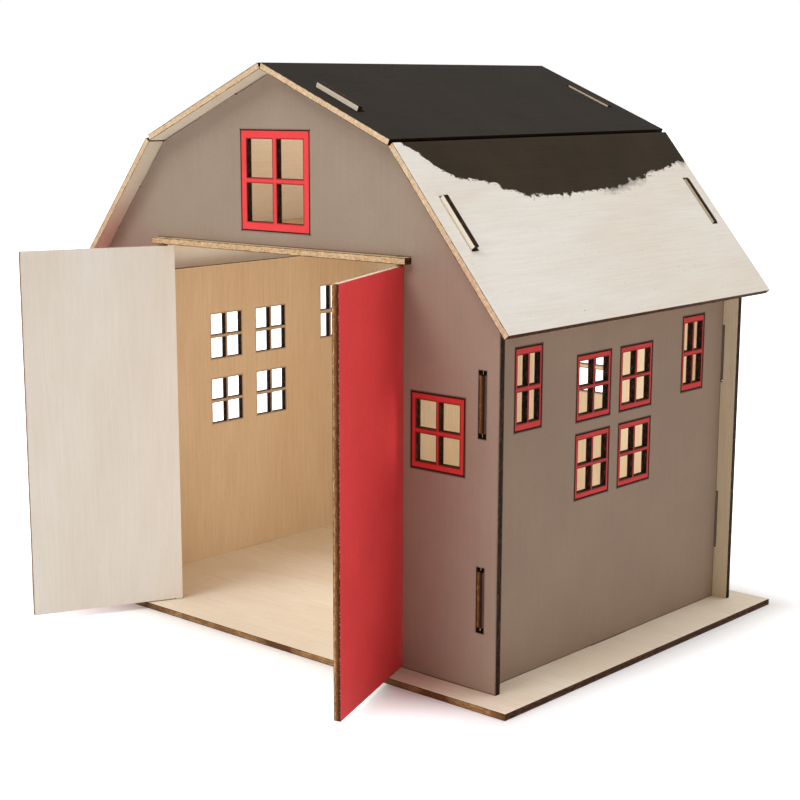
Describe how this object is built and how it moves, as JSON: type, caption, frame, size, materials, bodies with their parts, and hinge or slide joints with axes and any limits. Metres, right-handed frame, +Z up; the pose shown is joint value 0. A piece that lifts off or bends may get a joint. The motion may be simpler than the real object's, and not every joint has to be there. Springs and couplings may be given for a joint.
{
  "type": "toy barn with opening doors",
  "caption": "Flat-pack plywood toy barn with a gambrel roof, cut-out windows, a loft floor and tall front doors that swing on wooden pegs.",
  "frame": {"origin": "centre of the underside of the base", "axes": "+Z up, the doors face -Y, +X to the right as seen from the front"},
  "size_m": [0.292, 0.2714, 0.2685],
  "materials": {
    "bare_plywood": "matte",
    "taupe_paint": "matte",
    "roof_paint": "matte",
    "red_paint": "satin"
  },
  "bodies": {
    "barn": {"floor_base": "bare_plywood", "front_wall": "taupe_paint", "back_wall": "taupe_paint", "left_wall": "taupe_paint", "right_wall": "taupe_paint", "loft_floor": "bare_plywood", "roof_upper_left": "roof_paint", "roof_upper_right": "roof_paint", "roof_lower_left": "bare_plywood", "roof_lower_right": "bare_plywood"},
    "left_door": {"left_door": "red_paint"},
    "right_door": {"right_door": "red_paint"}
  },
  "joints": [
    {"name": "left_door_swing", "type": "hinge", "parent": "barn", "child": "left_door", "pos_m": [-0.0749, -0.093, 0.093], "axis": [0, 0, -1], "range_deg": [-114, 3]},
    {"name": "right_door_swing", "type": "hinge", "parent": "barn", "child": "right_door", "pos_m": [0.0749, -0.093, 0.093], "axis": [0, 0, 1], "range_deg": [-111, 6]}
  ]
}
